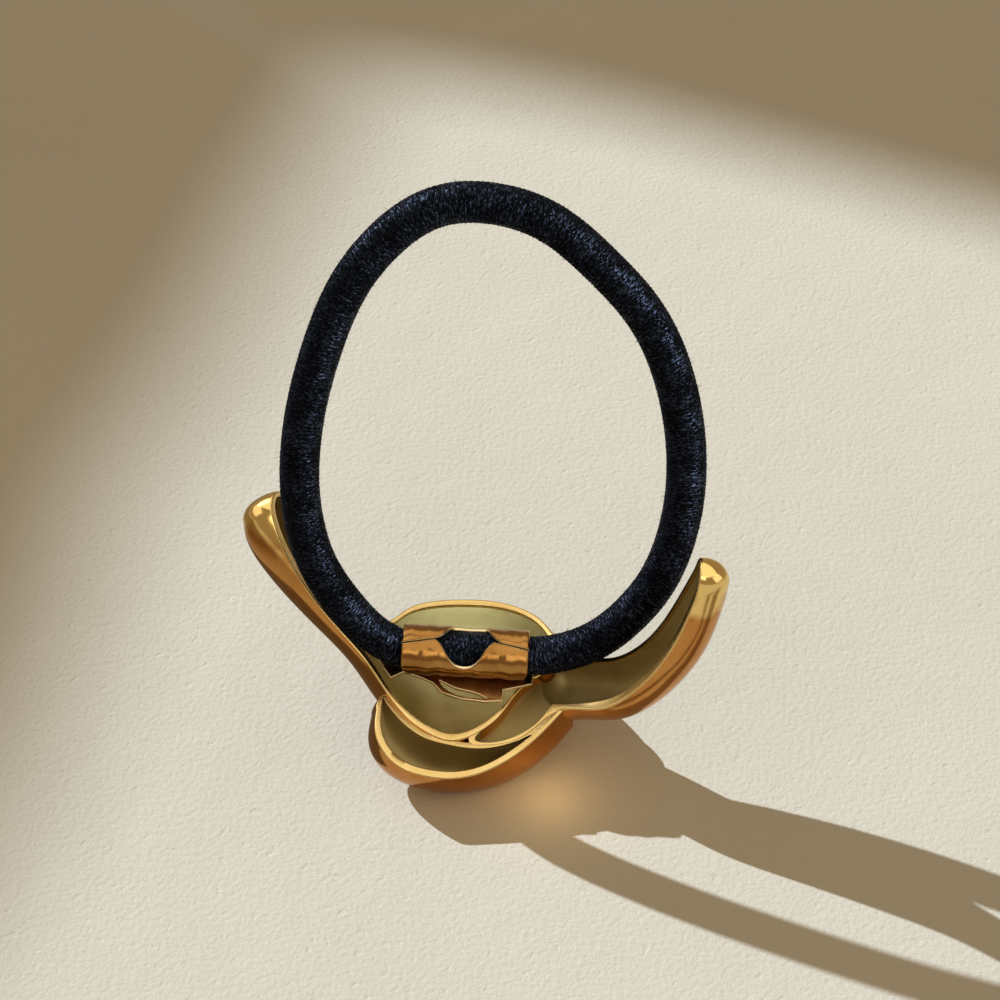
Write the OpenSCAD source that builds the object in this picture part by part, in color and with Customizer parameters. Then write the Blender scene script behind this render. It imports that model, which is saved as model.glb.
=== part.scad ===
// Metal cuff hair tie: a cast knot cuff, its clamp plate and crimp, and a round hair elastic.
// Ornament frame, before it is stood on the floor: the origin is the middle of the crimp,
// X runs along the crimp, Z points into the cuff, towards the hair, and Y points away from the
// viewer. The cuff is laid out on a cylinder about Y: "along" is measured round that cylinder
// from the crimp, "across" is Y, and "deep" is how far below the rims, away from the hair.

/* [Cuff] */
// Radius of the cylinder that all the rims lie on
rim_radius = 25.6; // [24:0.2:28]
// How far the rims lie below the middle of the crimp
rim_drop = 4.8; // [4.4:0.1:6]
// Thickness of the heavy rims, on the side nearer the viewer
near_wall = 1.0; // [0.8:0.05:1.2]
// Thickness of the fine rims, on the far side
far_wall = 0.65; // [0.5:0.05:0.9]
// Thickness of the cast walls at the bottom of each hollow
floor_wall = 1.8; // [1.2:0.1:2.2]
// How far the outside of each strand leans out past its rim, as an angle of its round
bulge = 16; // [0:2:24]

/* [Crimp] */
// Length of the crimp along the elastic
crimp_length = 14.6; // [13:0.2:16]
// Outer diameter of the crimp
crimp_outer = 5.8; // [5.6:0.1:6.4]
// Thickness of its sheet
crimp_sheet = 0.55; // [0.4:0.05:0.6]
// Width of the seam where the two wings meet
crimp_seam = 0.2; // [0.1:0.05:0.5]

/* [Clamp plate] */
// Thickness of the stamped plate
plate_sheet = 0.5; // [0.4:0.05:0.6]
// Gap between the plate and the crimp above it
plate_gap = 0.08; // [0.05:0.01:0.2]

/* [Elastic] */
// Diameter of the wound hair elastic
elastic_diameter = 4.5; // [4:0.1:4.6]
// How far the loop leans back from the cuff's inward direction
loop_lean = 31; // [20:1:45]

/* [Pose] */
// Turn about X that rests the front on the floor
rest_tilt = 10.4; // [0:0.1:20]
// Turn about Y that rests the front on the floor
rest_roll = 0.9; // [-4:0.1:4]
// How much is taken off the lowest spots, so that the cuff sits level
foot_flat = 0.15; // [0.05:0.05:0.3]

/* [Hidden] */
// Move that brings the middle of the footprint to the origin and the lowest spots to the floor
rest_shift = [-1.4, -4.38, 13.03];
gold = [0.85, 0.66, 0.32];
dull_gold = [0.72, 0.62, 0.36];
navy = [0.07, 0.08, 0.14];
smooth = 64;

// Left arm and dome: one comma-shaped strand, from the arm's tip to the dome's right side.
// Columns: near rim along, near rim across, far rim along, far rim across, depth, and how full
// its far side is, where the dome is squarer and deeper.
comma_rows = [
    [-28.4, 11.0, -24.4, 14.2, 5.2, 0.0],
    [-26.2,  8.8, -22.6, 12.2, 5.6, 0.0],
    [-21.5,  5.5, -18.7,  9.1, 4.8, 0.0],
    [-15.8,  2.0, -13.6,  6.2, 4.2, 0.0],
    [-12.1, -0.7, -11.0,  5.0, 4.6, 0.0],
    [ -9.3, -3.9,  -9.2,  5.8, 5.6, 0.1],
    [ -6.7, -6.6,  -7.1,  8.0, 6.8, 0.3],
    [ -3.7, -8.4,  -4.2,  9.4, 8.4, 0.42],
    [ -0.7, -9.0,  -0.9, 10.0, 8.2, 0.45],
    [  2.2, -7.6,   2.6,  9.9, 8.3, 0.45],
    [  4.4, -5.4,   5.7,  8.9, 8.6, 0.42],
    [  6.0, -2.9,   8.2,  7.2, 6.8, 0.25],
    [  7.9, -0.9,   9.9,  5.0, 4.7, 0.1]
];
comma_ends = [2.7, 1.6];
comma_hollow_ends = [2.0, 0.9];

// Right arm, from its closed end beside the dome to its tip.
arm_rows = [
    [ 1.5, -9.4,  6.4, 0.6, 5.3],
    [ 7.0, -8.5,  8.6, 1.3, 5.4],
    [10.9, -5.7, 10.9, 1.9, 5.5],
    [15.6, -6.5, 16.2, 0.3, 5.6],
    [19.8, -6.6, 19.8, -0.4, 5.6],
    [24.8, -5.2, 24.0, 0.2, 5.3],
    [29.2, -3.5, 28.2, 1.8, 4.9],
    [33.2, -1.9, 32.0, 3.1, 4.3],
    [36.8, -1.0, 36.0, 3.4, 3.8]
];
arm_ends = [2.0, 2.7];
arm_sink = 0.12;
// Its hollow starts at the third row
arm_hollow_rows = [for (i = [2:len(arm_rows) - 1]) arm_rows[i]];
arm_hollow_ends = [2.4, 2.0];

// Crescent lobe that wraps round under the dome, from left to right.
lobe_rows = [
    [-10.0,  -6.4, -8.6, -4.6, 3.2],
    [ -9.9,  -9.2, -7.0, -6.2, 4.8],
    [ -8.6, -11.7, -5.4, -7.4, 5.6],
    [ -6.1, -13.3, -3.7, -8.2, 6.0],
    [ -2.9, -13.8, -1.6, -8.6, 6.4],
    [  0.3, -13.6,  0.9, -8.9, 6.3],
    [  3.6, -12.4,  3.7, -8.8, 6.6],
    [  7.0, -10.2,  6.6, -8.0, 5.9],
    [  9.6,  -7.8,  9.0, -6.4, 5.2],
    [ 11.4,  -5.9, 10.4, -5.1, 4.6]
];
lobe_ends = [1.0, 1.2];
lobe_sink = 0.25;
// Its hollow stops two rows short of the narrow end
lobe_hollow_rows = [for (i = [0:len(lobe_rows) - 3]) lobe_rows[i]];
lobe_hollow_ends = [0.6, 1.6];

// Flat web between the dome, the lobe and the right arm: the place on the cuff whose tangent it
// follows, its outline from there, along and across, and how deep it lies under the rims.
web_place = 6.5;
web_outline = [
    [-4.9, -8.7], [-2.5, -9.0], [0.1, -8.2], [2.3, -6.8], [3.7, -5.0], [4.9, -2.6],
    [4.1, 0.6], [2.1, 0.0], [-0.1, -2.0], [-1.5, -4.4], [-3.5, -6.7]
];
web_depth = 1.2;

// Wavy cut in the crimp's wings, from the near side over the seam to the far side.
// Columns: across, half its width.
cut_rows = [
    [-2.62, 0.0], [-2.55, 0.6], [-2.3, 1.2], [-1.74, 1.83], [-0.9, 2.35], [-0.3, 3.0],
    [0.0, 3.45], [0.3, 3.2], [1.0, 2.75], [1.8, 2.4], [2.4, 2.1], [2.7, 1.5], [2.8, 0.0]
];
cut_middle = -0.1;

// Outline of the clamp plate, along and across, anticlockwise from its left corner
plate_outline = [
    [-11.0, 1.1], [-8.6, -2.3], [-7.2, -1.4], [-5.4, -1.9], [-3.7, -2.6], [-2.6, -3.8],
    [-0.3, -4.5], [2.6, -4.7], [4.5, -4.4], [4.5, -3.0], [6.6, -2.4], [7.8, -2.0],
    [7.8, 1.4], [6.6, 2.7], [-6.4, 2.7], [-8.2, 3.9]
];
// Curved slot in it, as its middle line and half width
slot_rows = [
    [-2.9, -2.3, 0.05], [-2.1, -3.1, 0.3], [-0.6, -3.75, 0.34], [1.0, -3.95, 0.3], [2.6, -4.3, 0.04]
];

// Route of the elastic's centre line in its leaning plane: along the crimp, and up the loop
loop_route = [
    [-7, 0], [-2.5, 0], [2.5, 0], [7, 0], [8.9, 0.15], [11.9, 1], [15.7, 3.2], [19.2, 7],
    [21.6, 11.1], [23.1, 15.9], [23.8, 21.5], [23.6, 27.1], [22.6, 32.7], [20.6, 38.6],
    [17.5, 43.8], [13, 48.5], [7.1, 53], [0.1, 54.7], [-6, 53.3], [-11, 48.9], [-14.5, 43.4],
    [-16.9, 36.8], [-18.6, 29.6], [-19.3, 22.5], [-18.9, 16.4], [-17.5, 11.1], [-15, 6.6],
    [-11.5, 2.4], [-8.9, 0.6]
];
loop_steps = 2;

// Catmull-Rom curve through the rows of a table, u rows from its first one
function clamped_row(rows, i) = rows[max(0, min(len(rows) - 1, i))];
function between_rows(rows, u) =
    let (
        i = min(floor(u), len(rows) - 2),
        f = u - i,
        a = clamped_row(rows, i - 1),
        b = rows[i],
        c = rows[i + 1],
        d = clamped_row(rows, i + 2)
    )
    b + 0.5 * f * ((c - a) + f * ((2 * a - 5 * b + 4 * c - d) + f * (3 * b - a - 3 * c + d)));

// A place on the cuff, in the ornament frame
function on_cuff(along, across, deep) =
    let (turn = along / rim_radius * 180 / PI, r = rim_radius + deep)
    [r * sin(turn), across, rim_radius - rim_drop - r * cos(turn)];

// One section of a strand: [middle, half width as a vector, depth, fullness]
function section(row) =
    let (near = [row[0], row[1]], far = [row[2], row[3]])
    [(near + far) / 2, (far - near) / 2, row[4], len(row) > 5 ? row[5] : 0];

// The same section drawn in by the walls, for the hollow
function hollow_section(row) =
    let (
        near = [row[0], row[1]],
        far = [row[2], row[3]],
        over = (far - near) / norm(far - near),
        inner_near = near + over * near_wall,
        inner_far = far - over * far_wall
    )
    [(inner_near + inner_far) / 2, (inner_far - inner_near) / 2, row[4] - floor_wall, 0];

// The rounded end of a strand: its last section shrinks as a quarter round of the given length
cap_turns = [22, 44, 62, 77];
function cap(from, before, length) =
    let (heading = (from[0] - before[0]) / norm(from[0] - before[0]))
    [
        for (a = cap_turns)
            [from[0] + heading * length * sin(a), from[1] * cos(a), from[2] * cos(a), from[3]]
    ];

// The point that closes it
function tip(from, before, length) =
    from[0] + (from[0] - before[0]) / norm(from[0] - before[0]) * length;

function reversed(list) = [for (i = [len(list) - 1:-1:0]) list[i]];

// All sections of a strand with both its round ends, and its two closing points
function with_caps(body, ends) =
    let (last = len(body) - 1)
    concat(
        reversed(cap(body[0], body[1], ends[0])),
        body,
        cap(body[last], body[last - 1], ends[1])
    );
function tips(body, ends) =
    let (last = len(body) - 1)
    [tip(body[0], body[1], ends[0]), tip(body[last], body[last - 1], ends[1])];

// Outline of a section's outside, a part round that leans out past the rims by the bulge
outer_steps = 14;
function outer_ring(s, sink) = [
    for (i = [0:outer_steps])
        let (
            a = -bulge + (180 + 2 * bulge) * i / outer_steps,
            sideways = cos(a) / cos(bulge),
            round = pow(max(sin(a) + sin(bulge), 0) / (1 + sin(bulge)), 1 - s[3]),
            deep = (s[2] - sink) * round * (1 + s[3] * cos(a)),
            at = s[0] + s[1] * sideways
        )
        on_cuff(at[0], at[1], sink + deep)
];

// Outline of a section's hollow: a half round below a short straight lip, and the opening, which
// stands on past the rims towards the hair
inner_steps = 10;
lip = 0.4;
opening_height = 2;
function inner_ring(s) = concat(
    [
        for (i = [0:inner_steps])
            let (a = 180 * i / inner_steps, at = s[0] + s[1] * cos(a))
            on_cuff(at[0], at[1], lip + (s[2] - lip) * pow(sin(a), 0.8))
    ],
    [
        for (side = [-1, 1])
            let (at = s[0] + s[1] * side)
            on_cuff(at[0], at[1], -opening_height)
    ]
);

// Skins a list of rings, all with the same number of points, into one closed solid. Two end
// points close its ends; with none it closes on itself as a loop.
module skin(rings, end_points = []) {
    n = len(rings[0]);
    count = len(rings);
    spans = len(end_points) == 0 ? count : count - 1;
    polyhedron(
        points = concat([for (ring = rings) each ring], end_points),
        faces = [
            for (j = [0:n - 1])
                let (k = (j + 1) % n, last = (count - 1) * n)
                each concat(
                    len(end_points) == 0 ? [] : [[k, j, count * n], [last + j, last + k, count * n + 1]],
                    [for (i = [0:spans - 1])
                        let (here = i * n, next = (i + 1) % count * n)
                        each [[here + j, next + k, next + j], [here + j, here + k, next + k]]]
                )
        ]
    );
}

// The outside has sections at each third of a row, the hollow midway between those
steps_per_row = 3;
module strand_outside(rows, ends, sink = 0) {
    body = [for (i = [0:(len(rows) - 1) * steps_per_row]) section(between_rows(rows, i / steps_per_row))];
    skin(
        [for (s = with_caps(body, ends)) outer_ring(s, sink)],
        [for (at = tips(body, ends)) on_cuff(at[0], at[1], sink + 0.4)]
    );
}

module strand_hollow(rows, ends) {
    body = [
        for (i = [0:(len(rows) - 1) * steps_per_row - 1])
            hollow_section(between_rows(rows, (i + 0.5) / steps_per_row))
    ];
    skin(
        [for (s = with_caps(body, ends)) inner_ring(s)],
        [for (at = tips(body, ends)) on_cuff(at[0], at[1], -opening_height / 2)]
    );
}

// A flat pocket for the web, open towards the hair
module web_pocket()
    translate(on_cuff(web_place, 0, web_depth))
        rotate([0, -web_place / rim_radius * 180 / PI, 0])
            linear_extrude(web_depth + opening_height) polygon(web_outline);

module knot() {
    difference() {
        union() {
            difference() {
                union() {
                    strand_outside(lobe_rows, lobe_ends, lobe_sink);
                    strand_outside(arm_rows, arm_ends, arm_sink);
                }
                web_pocket();
                strand_hollow(lobe_hollow_rows, lobe_hollow_ends);
                strand_hollow(arm_hollow_rows, arm_hollow_ends);
            }
            strand_outside(comma_rows, comma_ends);
        }
        strand_hollow(comma_rows, comma_hollow_ends);
    }
}

// Outline of the wavy cut, seen from above
function cut_outline() =
    let (rows = [for (u = [0:0.5:len(cut_rows) - 1]) between_rows(cut_rows, u)])
    concat(
        [for (r = rows) [cut_middle + max(r[1], 0), r[0]]],
        [for (i = [len(rows) - 2:-1:1]) [cut_middle - max(rows[i][1], 0), rows[i][0]]]
    );

module along_x(length)
    translate([-length / 2, 0, 0]) rotate([0, 90, 0]) linear_extrude(length) children();

// Side view of the crimp: a long plate with round corners
module crimp_side(corner) {
    half_long = crimp_length / 2;
    half_high = crimp_outer / 2;
    square([crimp_length, 2 * (half_high - corner)], center = true);
    square([crimp_length - 2 * corner, crimp_outer], center = true);
    for (x = [-1, 1], z = [-1, 1])
        translate([x * (half_long - corner), z * (half_high - corner)])
            circle(r = corner, $fn = smooth);
}

module crimp() {
    crimp_corner = 1.2;
    difference() {
        intersection() {
            along_x(crimp_length) circle(d = crimp_outer, $fn = smooth);
            rotate([90, 0, 0])
                linear_extrude(crimp_outer, center = true) crimp_side(crimp_corner);
        }
        along_x(crimp_length + 2) circle(d = crimp_outer - 2 * crimp_sheet, $fn = smooth);
        linear_extrude(crimp_outer) polygon(cut_outline());
        translate([-crimp_length, -crimp_seam / 2, 0])
            cube([2 * crimp_length, crimp_seam, crimp_outer]);
    }
}

// Outline of the curved slot
function slot_outline() =
    let (rows = [for (u = [0:0.5:len(slot_rows) - 1]) between_rows(slot_rows, u)])
    concat(
        [for (r = rows) [r[0], r[1] - r[2]]],
        [for (r = reversed(rows)) [r[0], r[1] + r[2]]]
    );

module plate() {
    plate_top = -crimp_outer / 2 - plate_gap;
    translate([0, 0, plate_top - plate_sheet])
        linear_extrude(plate_sheet)
            difference() {
                polygon(plate_outline);
                polygon(slot_outline());
            }
}

// Closed curve through the route, u points from its first one
function on_loop(u) =
    let (
        n = len(loop_route),
        i = floor(u),
        f = u - i,
        a = loop_route[(i + n - 1) % n],
        b = loop_route[i % n],
        c = loop_route[(i + 1) % n],
        d = loop_route[(i + 2) % n]
    )
    b + 0.5 * f * ((c - a) + f * ((2 * a - 5 * b + 4 * c - d) + f * (3 * b - a - 3 * c + d)));

// A place near the loop: its plane leans back, with the outward side at right angles to it
function in_loop_plane(along, up, out) = [
    along,
    up * sin(loop_lean) + out * cos(loop_lean),
    up * cos(loop_lean) - out * sin(loop_lean)
];

elastic_sides = 12;
function elastic_ring(u) =
    let (
        here = on_loop(u),
        ahead = on_loop(u + 0.05) - on_loop(u + len(loop_route) - 0.05),
        side = [-ahead[1], ahead[0]] / norm(ahead),
        r = elastic_diameter / 2
    )
    [
        for (k = [0:elastic_sides - 1])
            let (a = 360 * k / elastic_sides, p = here + side * r * cos(a))
            in_loop_plane(p[0], p[1], r * sin(a))
    ];

module elastic()
    skin([for (i = [0:len(loop_route) * loop_steps - 1]) elastic_ring(i / loop_steps)]);

// Turns the ornament frame into the one that stands on the floor
module stand()
    translate(rest_shift - [0, 0, foot_flat]) rotate([rest_tilt, rest_roll, 0]) children();

module knot_cuff() {
    floor_side = 100;
    color(gold)
        difference() {
            stand() knot();
            translate([-floor_side / 2, -floor_side / 2, -floor_side])
                cube(floor_side);
        }
}

module clamp_plate() {
    color(dull_gold) stand() plate();
}

module elastic_clamp() {
    color(gold) stand() crimp();
}

module elastic_band() {
    color(navy) stand() elastic();
}

knot_cuff();
clamp_plate();
elastic_clamp();
elastic_band();
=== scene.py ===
"""Looks of a metal cuff hair tie, built round its CAD solids.

The ornament frame is the one the metal was drawn in, in millimetres: the origin is the middle of
the crimp, X runs along the crimp, Z points to the cuff's inner side, where the hair goes, and Y
away from the viewer. The cuff is laid out on a cylinder about Y: "along" is measured round it,
"across" is Y, and "deep" is how far below the rims.
"""
import math
import bmesh
import bpy
import numpy as np
from mathutils import Matrix, Vector


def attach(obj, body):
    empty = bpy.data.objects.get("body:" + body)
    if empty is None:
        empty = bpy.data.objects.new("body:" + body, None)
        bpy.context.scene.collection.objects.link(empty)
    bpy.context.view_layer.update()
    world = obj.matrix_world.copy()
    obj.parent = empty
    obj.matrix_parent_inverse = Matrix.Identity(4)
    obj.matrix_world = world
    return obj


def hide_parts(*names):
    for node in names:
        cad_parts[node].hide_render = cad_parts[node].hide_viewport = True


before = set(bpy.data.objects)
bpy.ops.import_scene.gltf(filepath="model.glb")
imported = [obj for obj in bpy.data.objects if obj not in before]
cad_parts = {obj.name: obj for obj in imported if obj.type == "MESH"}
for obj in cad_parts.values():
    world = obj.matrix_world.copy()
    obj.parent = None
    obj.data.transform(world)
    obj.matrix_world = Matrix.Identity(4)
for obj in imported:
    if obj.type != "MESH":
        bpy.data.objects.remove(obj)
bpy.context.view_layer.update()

MM = 0.001
scene = bpy.context.scene

# Metal, in millimetres, as in the part's source
RIM_RADIUS = 25.6
RIM_DROP = 4.8
NEAR_WALL = 1.0
FAR_WALL = 0.65
FLOOR_WALL = 1.8
BULGE = math.radians(16)
CRIMP_LENGTH = 14.6
CRIMP_RADIUS = 2.9
CRIMP_SHEET = 0.55
PLATE_SHEET = 0.5
PLATE_GAP = 0.08
ELASTIC_RADIUS = 2.25
LOOP_LEAN = math.radians(31)

# How the ornament frame stands on the floor: turns about X and Y, then a move
REST_TILT = math.radians(10.4)
REST_ROLL = math.radians(0.9)
REST_SHIFT = np.array([-1.4, -4.38, 12.88])

# Columns: near rim along and across, far rim along and across, depth, fullness of the far side
COMMA_ROWS = np.array([
    [-28.4, 11.0, -24.4, 14.2, 5.2, 0.0],
    [-26.2, 8.8, -22.6, 12.2, 5.6, 0.0],
    [-21.5, 5.5, -18.7, 9.1, 4.8, 0.0],
    [-15.8, 2.0, -13.6, 6.2, 4.2, 0.0],
    [-12.1, -0.7, -11.0, 5.0, 4.6, 0.0],
    [-9.3, -3.9, -9.2, 5.8, 5.6, 0.1],
    [-6.7, -6.6, -7.1, 8.0, 6.8, 0.3],
    [-3.7, -8.4, -4.2, 9.4, 8.4, 0.42],
    [-0.7, -9.0, -0.9, 10.0, 8.2, 0.45],
    [2.2, -7.6, 2.6, 9.9, 8.3, 0.45],
    [4.4, -5.4, 5.7, 8.9, 8.6, 0.42],
    [6.0, -2.9, 8.2, 7.2, 6.8, 0.25],
    [7.9, -0.9, 9.9, 5.0, 4.7, 0.1],
])
ARM_ROWS = np.array([
    [1.5, -9.4, 6.4, 0.6, 5.3, 0.0],
    [7.0, -8.5, 8.6, 1.3, 5.4, 0.0],
    [10.9, -5.7, 10.9, 1.9, 5.5, 0.0],
    [15.6, -6.5, 16.2, 0.3, 5.6, 0.0],
    [19.8, -6.6, 19.8, -0.4, 5.6, 0.0],
    [24.8, -5.2, 24.0, 0.2, 5.3, 0.0],
    [29.2, -3.5, 28.2, 1.8, 4.9, 0.0],
    [33.2, -1.9, 32.0, 3.1, 4.3, 0.0],
    [36.8, -1.0, 36.0, 3.4, 3.8, 0.0],
])
LOBE_ROWS = np.array([
    [-10.0, -6.4, -8.6, -4.6, 3.2, 0.0],
    [-9.9, -9.2, -7.0, -6.2, 4.8, 0.0],
    [-8.6, -11.7, -5.4, -7.4, 5.6, 0.0],
    [-6.1, -13.3, -3.7, -8.2, 6.0, 0.0],
    [-2.9, -13.8, -1.6, -8.6, 6.4, 0.0],
    [0.3, -13.6, 0.9, -8.9, 6.3, 0.0],
    [3.6, -12.4, 3.7, -8.8, 6.6, 0.0],
    [7.0, -10.2, 6.6, -8.0, 5.9, 0.0],
    [9.6, -7.8, 9.0, -6.4, 5.2, 0.0],
    [11.4, -5.9, 10.4, -5.1, 4.6, 0.0],
])
WEB_PLACE = 6.5
WEB_DEPTH = 1.2
WEB_OUTLINE = np.array([
    [-4.9, -8.7], [-2.5, -9.0], [0.1, -8.2], [2.3, -6.8], [3.7, -5.0], [4.9, -2.6],
    [4.1, 0.6], [2.1, 0.0], [-0.1, -2.0], [-1.5, -4.4], [-3.5, -6.7],
])
# The crimp's window: how far each wing's edge lies from the seam, against the distance from the
# middle of its cut, and where along the crimp that middle is
NEAR_CUT = np.array([
    [0, 2.72], [0.6, 2.68], [1.2, 2.5], [1.83, 2.0], [2.35, 1.25], [2.85, 0.55], [3.35, 0.1],
])
FAR_CUT = np.array([
    [0, 2.8], [1.4, 2.75], [2.05, 2.6], [2.35, 1.7], [2.75, 0.9], [3.25, 0.35], [3.75, 0.1],
])
NEAR_MIDDLE = -0.1
FAR_MIDDLE = 0.3
SEAM = 0.07
# How much the seam runs slantwise towards the near side, past the window
SEAM_SLANT = 0.21
PLATE_OUTLINE = np.array([
    [-11.0, 1.1], [-8.6, -2.3], [-7.2, -1.4], [-5.4, -1.9], [-3.7, -2.6], [-2.6, -3.8],
    [-0.3, -4.5], [2.6, -4.7], [4.5, -4.4], [4.5, -3.0], [6.6, -2.4], [7.8, -2.0],
    [7.8, 1.4], [6.6, 2.7], [-6.4, 2.7], [-8.2, 3.9],
])
# The plate's slot: points along its middle, and half its width there
SLOT_ROWS = np.array([
    [-2.9, -2.3, 0.05], [-2.1, -3.0, 0.36], [-0.6, -3.65, 0.42], [1.0, -3.9, 0.36], [2.6, -4.25, 0.05],
])
# The elastic's middle line in its leaning plane: along the crimp, and up
LOOP_ROUTE = np.array([
    [-7, 0], [-2.5, 0], [2.5, 0], [7, 0], [8.9, 0.15], [11.9, 1], [15.7, 3.2], [19.2, 7],
    [21.6, 11.1], [23.1, 15.9], [23.8, 21.5], [23.6, 27.1], [22.6, 32.7], [20.6, 38.6],
    [17.5, 43.8], [13, 48.5], [7.1, 53], [0.1, 54.7], [-6, 53.3], [-11, 48.9], [-14.5, 43.4],
    [-16.9, 36.8], [-18.6, 29.6], [-19.3, 22.5], [-18.9, 16.4], [-17.5, 11.1], [-15, 6.6],
    [-11.5, 2.4], [-8.9, 0.6],
])


# Places and curves

def turn_to_rest(points):
    """Turns directions from the ornament frame to the floor's: about X by the tilt, then about Y."""
    x, y, z = np.moveaxis(np.asarray(points, float), -1, 0)
    cos, sin = math.cos(REST_TILT), math.sin(REST_TILT)
    y, z = y * cos - z * sin, y * sin + z * cos
    cos, sin = math.cos(REST_ROLL), math.sin(REST_ROLL)
    x, z = x * cos + z * sin, z * cos - x * sin
    return np.stack([x, y, z], axis=-1)


def stand(points):
    """The ornament frame's places as they stand on the floor, in metres."""
    return (turn_to_rest(points) + REST_SHIFT) * MM


def on_cuff(along, across, deep):
    """A place on the cuff: along over the radius is the turn about Y, and deep adds to the radius."""
    turn, radius = along / RIM_RADIUS, RIM_RADIUS + deep
    up = RIM_RADIUS - RIM_DROP - radius * np.cos(turn)
    return np.stack([radius * np.sin(turn), across, up], axis=-1)


def smooth_rows(rows, places, closed=False):
    """Cubic spline through the rows of a table: the rows' second differences solve the spline's
    three-term equations, and each span is the straight line plus its two cubic corrections."""
    count = len(rows)
    if closed:
        before, after = np.roll(rows, 1, axis=0), np.roll(rows, -1, axis=0)
        one = np.eye(count)
        system = 4 * one + np.roll(one, 1, axis=1) + np.roll(one, -1, axis=1)
        bends = np.linalg.solve(system, 6 * (before - 2 * rows + after))
        first = np.floor(places).astype(int) % count
    else:
        system = np.eye(count)
        inner = np.arange(1, count - 1)
        system[inner, inner], system[inner, inner - 1], system[inner, inner + 1] = 4, 1, 1
        right = np.zeros_like(rows)
        right[1:-1] = 6 * (rows[:-2] - 2 * rows[1:-1] + rows[2:])
        bends = np.linalg.solve(system, right)
        first = np.clip(np.floor(places).astype(int), 0, count - 2)
    second = (first + 1) % count
    past = (places - np.floor(places) if closed else places - first)[:, None]
    short = 1 - past
    return (short * rows[first] + past * rows[second]
            + ((short ** 3 - short) * bends[first] + (past ** 3 - past) * bends[second]) / 6)


def lattice(rows, columns, around_rows=False, around_columns=False):
    """The four corners of every cell of a grid of points, with rows or columns joined end to end."""
    row = np.arange(rows if around_rows else rows - 1)[:, None]
    column = np.arange(columns if around_columns else columns - 1)[None, :]
    next_row, next_column = (row + 1) % rows, (column + 1) % columns
    corners = [row * columns + column, next_row * columns + column,
               next_row * columns + next_column, row * columns + next_column]
    return np.stack(corners, axis=-1).reshape(-1, 4)


def points_of(mesh):
    """The mesh's points as an array, one row a point."""
    flat = np.empty(len(mesh.vertices) * 3)
    mesh.vertices.foreach_get("co", flat)
    return flat.reshape(-1, 3)


def signed_volume(mesh):
    """Sum over the faces' triangles of a sixth of the triple product of their corners."""
    mesh.calc_loop_triangles()
    triangles = np.empty(len(mesh.loop_triangles) * 3, int)
    mesh.loop_triangles.foreach_get("vertices", triangles)
    a, b, c = np.moveaxis(points_of(mesh)[triangles.reshape(-1, 3)], 1, 0)
    return float(np.einsum("ij,ij->", a, np.cross(b, c))) / 6


def closed_form(name, grid, around_rows=False, slots=None):
    """A closed surface from a grid whose columns go round. Rows that close on a line or a point are
    merged there, and the faces are turned outward. slots gives each column's material number."""
    rows, columns = grid.shape[:2]
    faces = lattice(rows, columns, around_rows, True)
    mesh = bpy.data.meshes.new(name)
    mesh.from_pydata(grid.reshape(-1, 3).tolist(), [], faces.tolist())
    if slots is not None:
        mesh.polygons.foreach_set("material_index", np.tile(slots, len(faces) // columns).astype(np.int32))
    shape = bmesh.new()
    shape.from_mesh(mesh)
    bmesh.ops.remove_doubles(shape, verts=shape.verts, dist=1e-4)
    bmesh.ops.dissolve_degenerate(shape, edges=shape.edges, dist=1e-4)
    shape.to_mesh(mesh)
    shape.free()
    if signed_volume(mesh) < 0:
        mesh.flip_normals()
    piece = bpy.data.objects.new(name, mesh)
    scene.collection.objects.link(piece)
    return piece


def solid_from(name, base, steps, materials):
    """Joins solids to base and cuts solids from it, in order. Each solid is used up, and its faces
    keep their numbers in the common list of materials."""
    for piece in [base] + [other for how, other in steps]:
        for material in materials:
            piece.data.materials.append(material)
    for how, other in steps:
        change = base.modifiers.new(how, "BOOLEAN")
        change.operation, change.object, change.solver = how, other, "MANIFOLD"
        shape = bpy.data.meshes.new_from_object(base.evaluated_get(bpy.context.evaluated_depsgraph_get()))
        base.modifiers.clear()
        spent = base.data
        base.data = shape
        bpy.data.meshes.remove(spent)
        spent = other.data
        bpy.data.objects.remove(other)
        bpy.data.meshes.remove(spent)
    base.name = base.data.name = name
    return base


def finish_piece(piece, node, materials=(), sharp=None):
    """Turns a piece drawn in the ornament frame to where it stands, in metres, smooths its shading
    and puts it in the place of its CAD node. What would lie below the floor is the cuff's level
    foot, so its height is raised to nothing."""
    mesh = piece.data
    placed = stand(points_of(mesh))
    placed[:, 2] = np.maximum(placed[:, 2], 0)
    mesh.vertices.foreach_set("co", placed.ravel())
    mesh.update()
    for material in materials:
        mesh.materials.append(material)
    mesh.shade_smooth()
    if sharp is not None:
        mesh.set_sharp_from_angle(angle=math.radians(sharp))
    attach(piece, "root")
    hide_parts(node)


# The cast knot

# Places of the knot's three materials in its list: the polished outside, the satin hollows, whose darker
# olive is partly painted shade, and the rims, whose paler gold is a painted highlight
OUTSIDE, INSIDE, RIM = 0, 1, 2
OUTER_FILLET = 0.26
# The hollows run straight up this far past the rims, and are straight for LIP below them
OPENING = 2.0
LIP = 0.55
# The distance between sections, the sections in a round end, and the points in a section's round
STATION = 0.28
CAP_STEPS = 12
OUTSIDE_POINTS = 49
HOLLOW_POINTS = 41
# Points across the flat top of a section, as shares of its half width
FLAT_SIDES = np.array([-0.6, -0.2, 0.2, 0.6])


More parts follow.
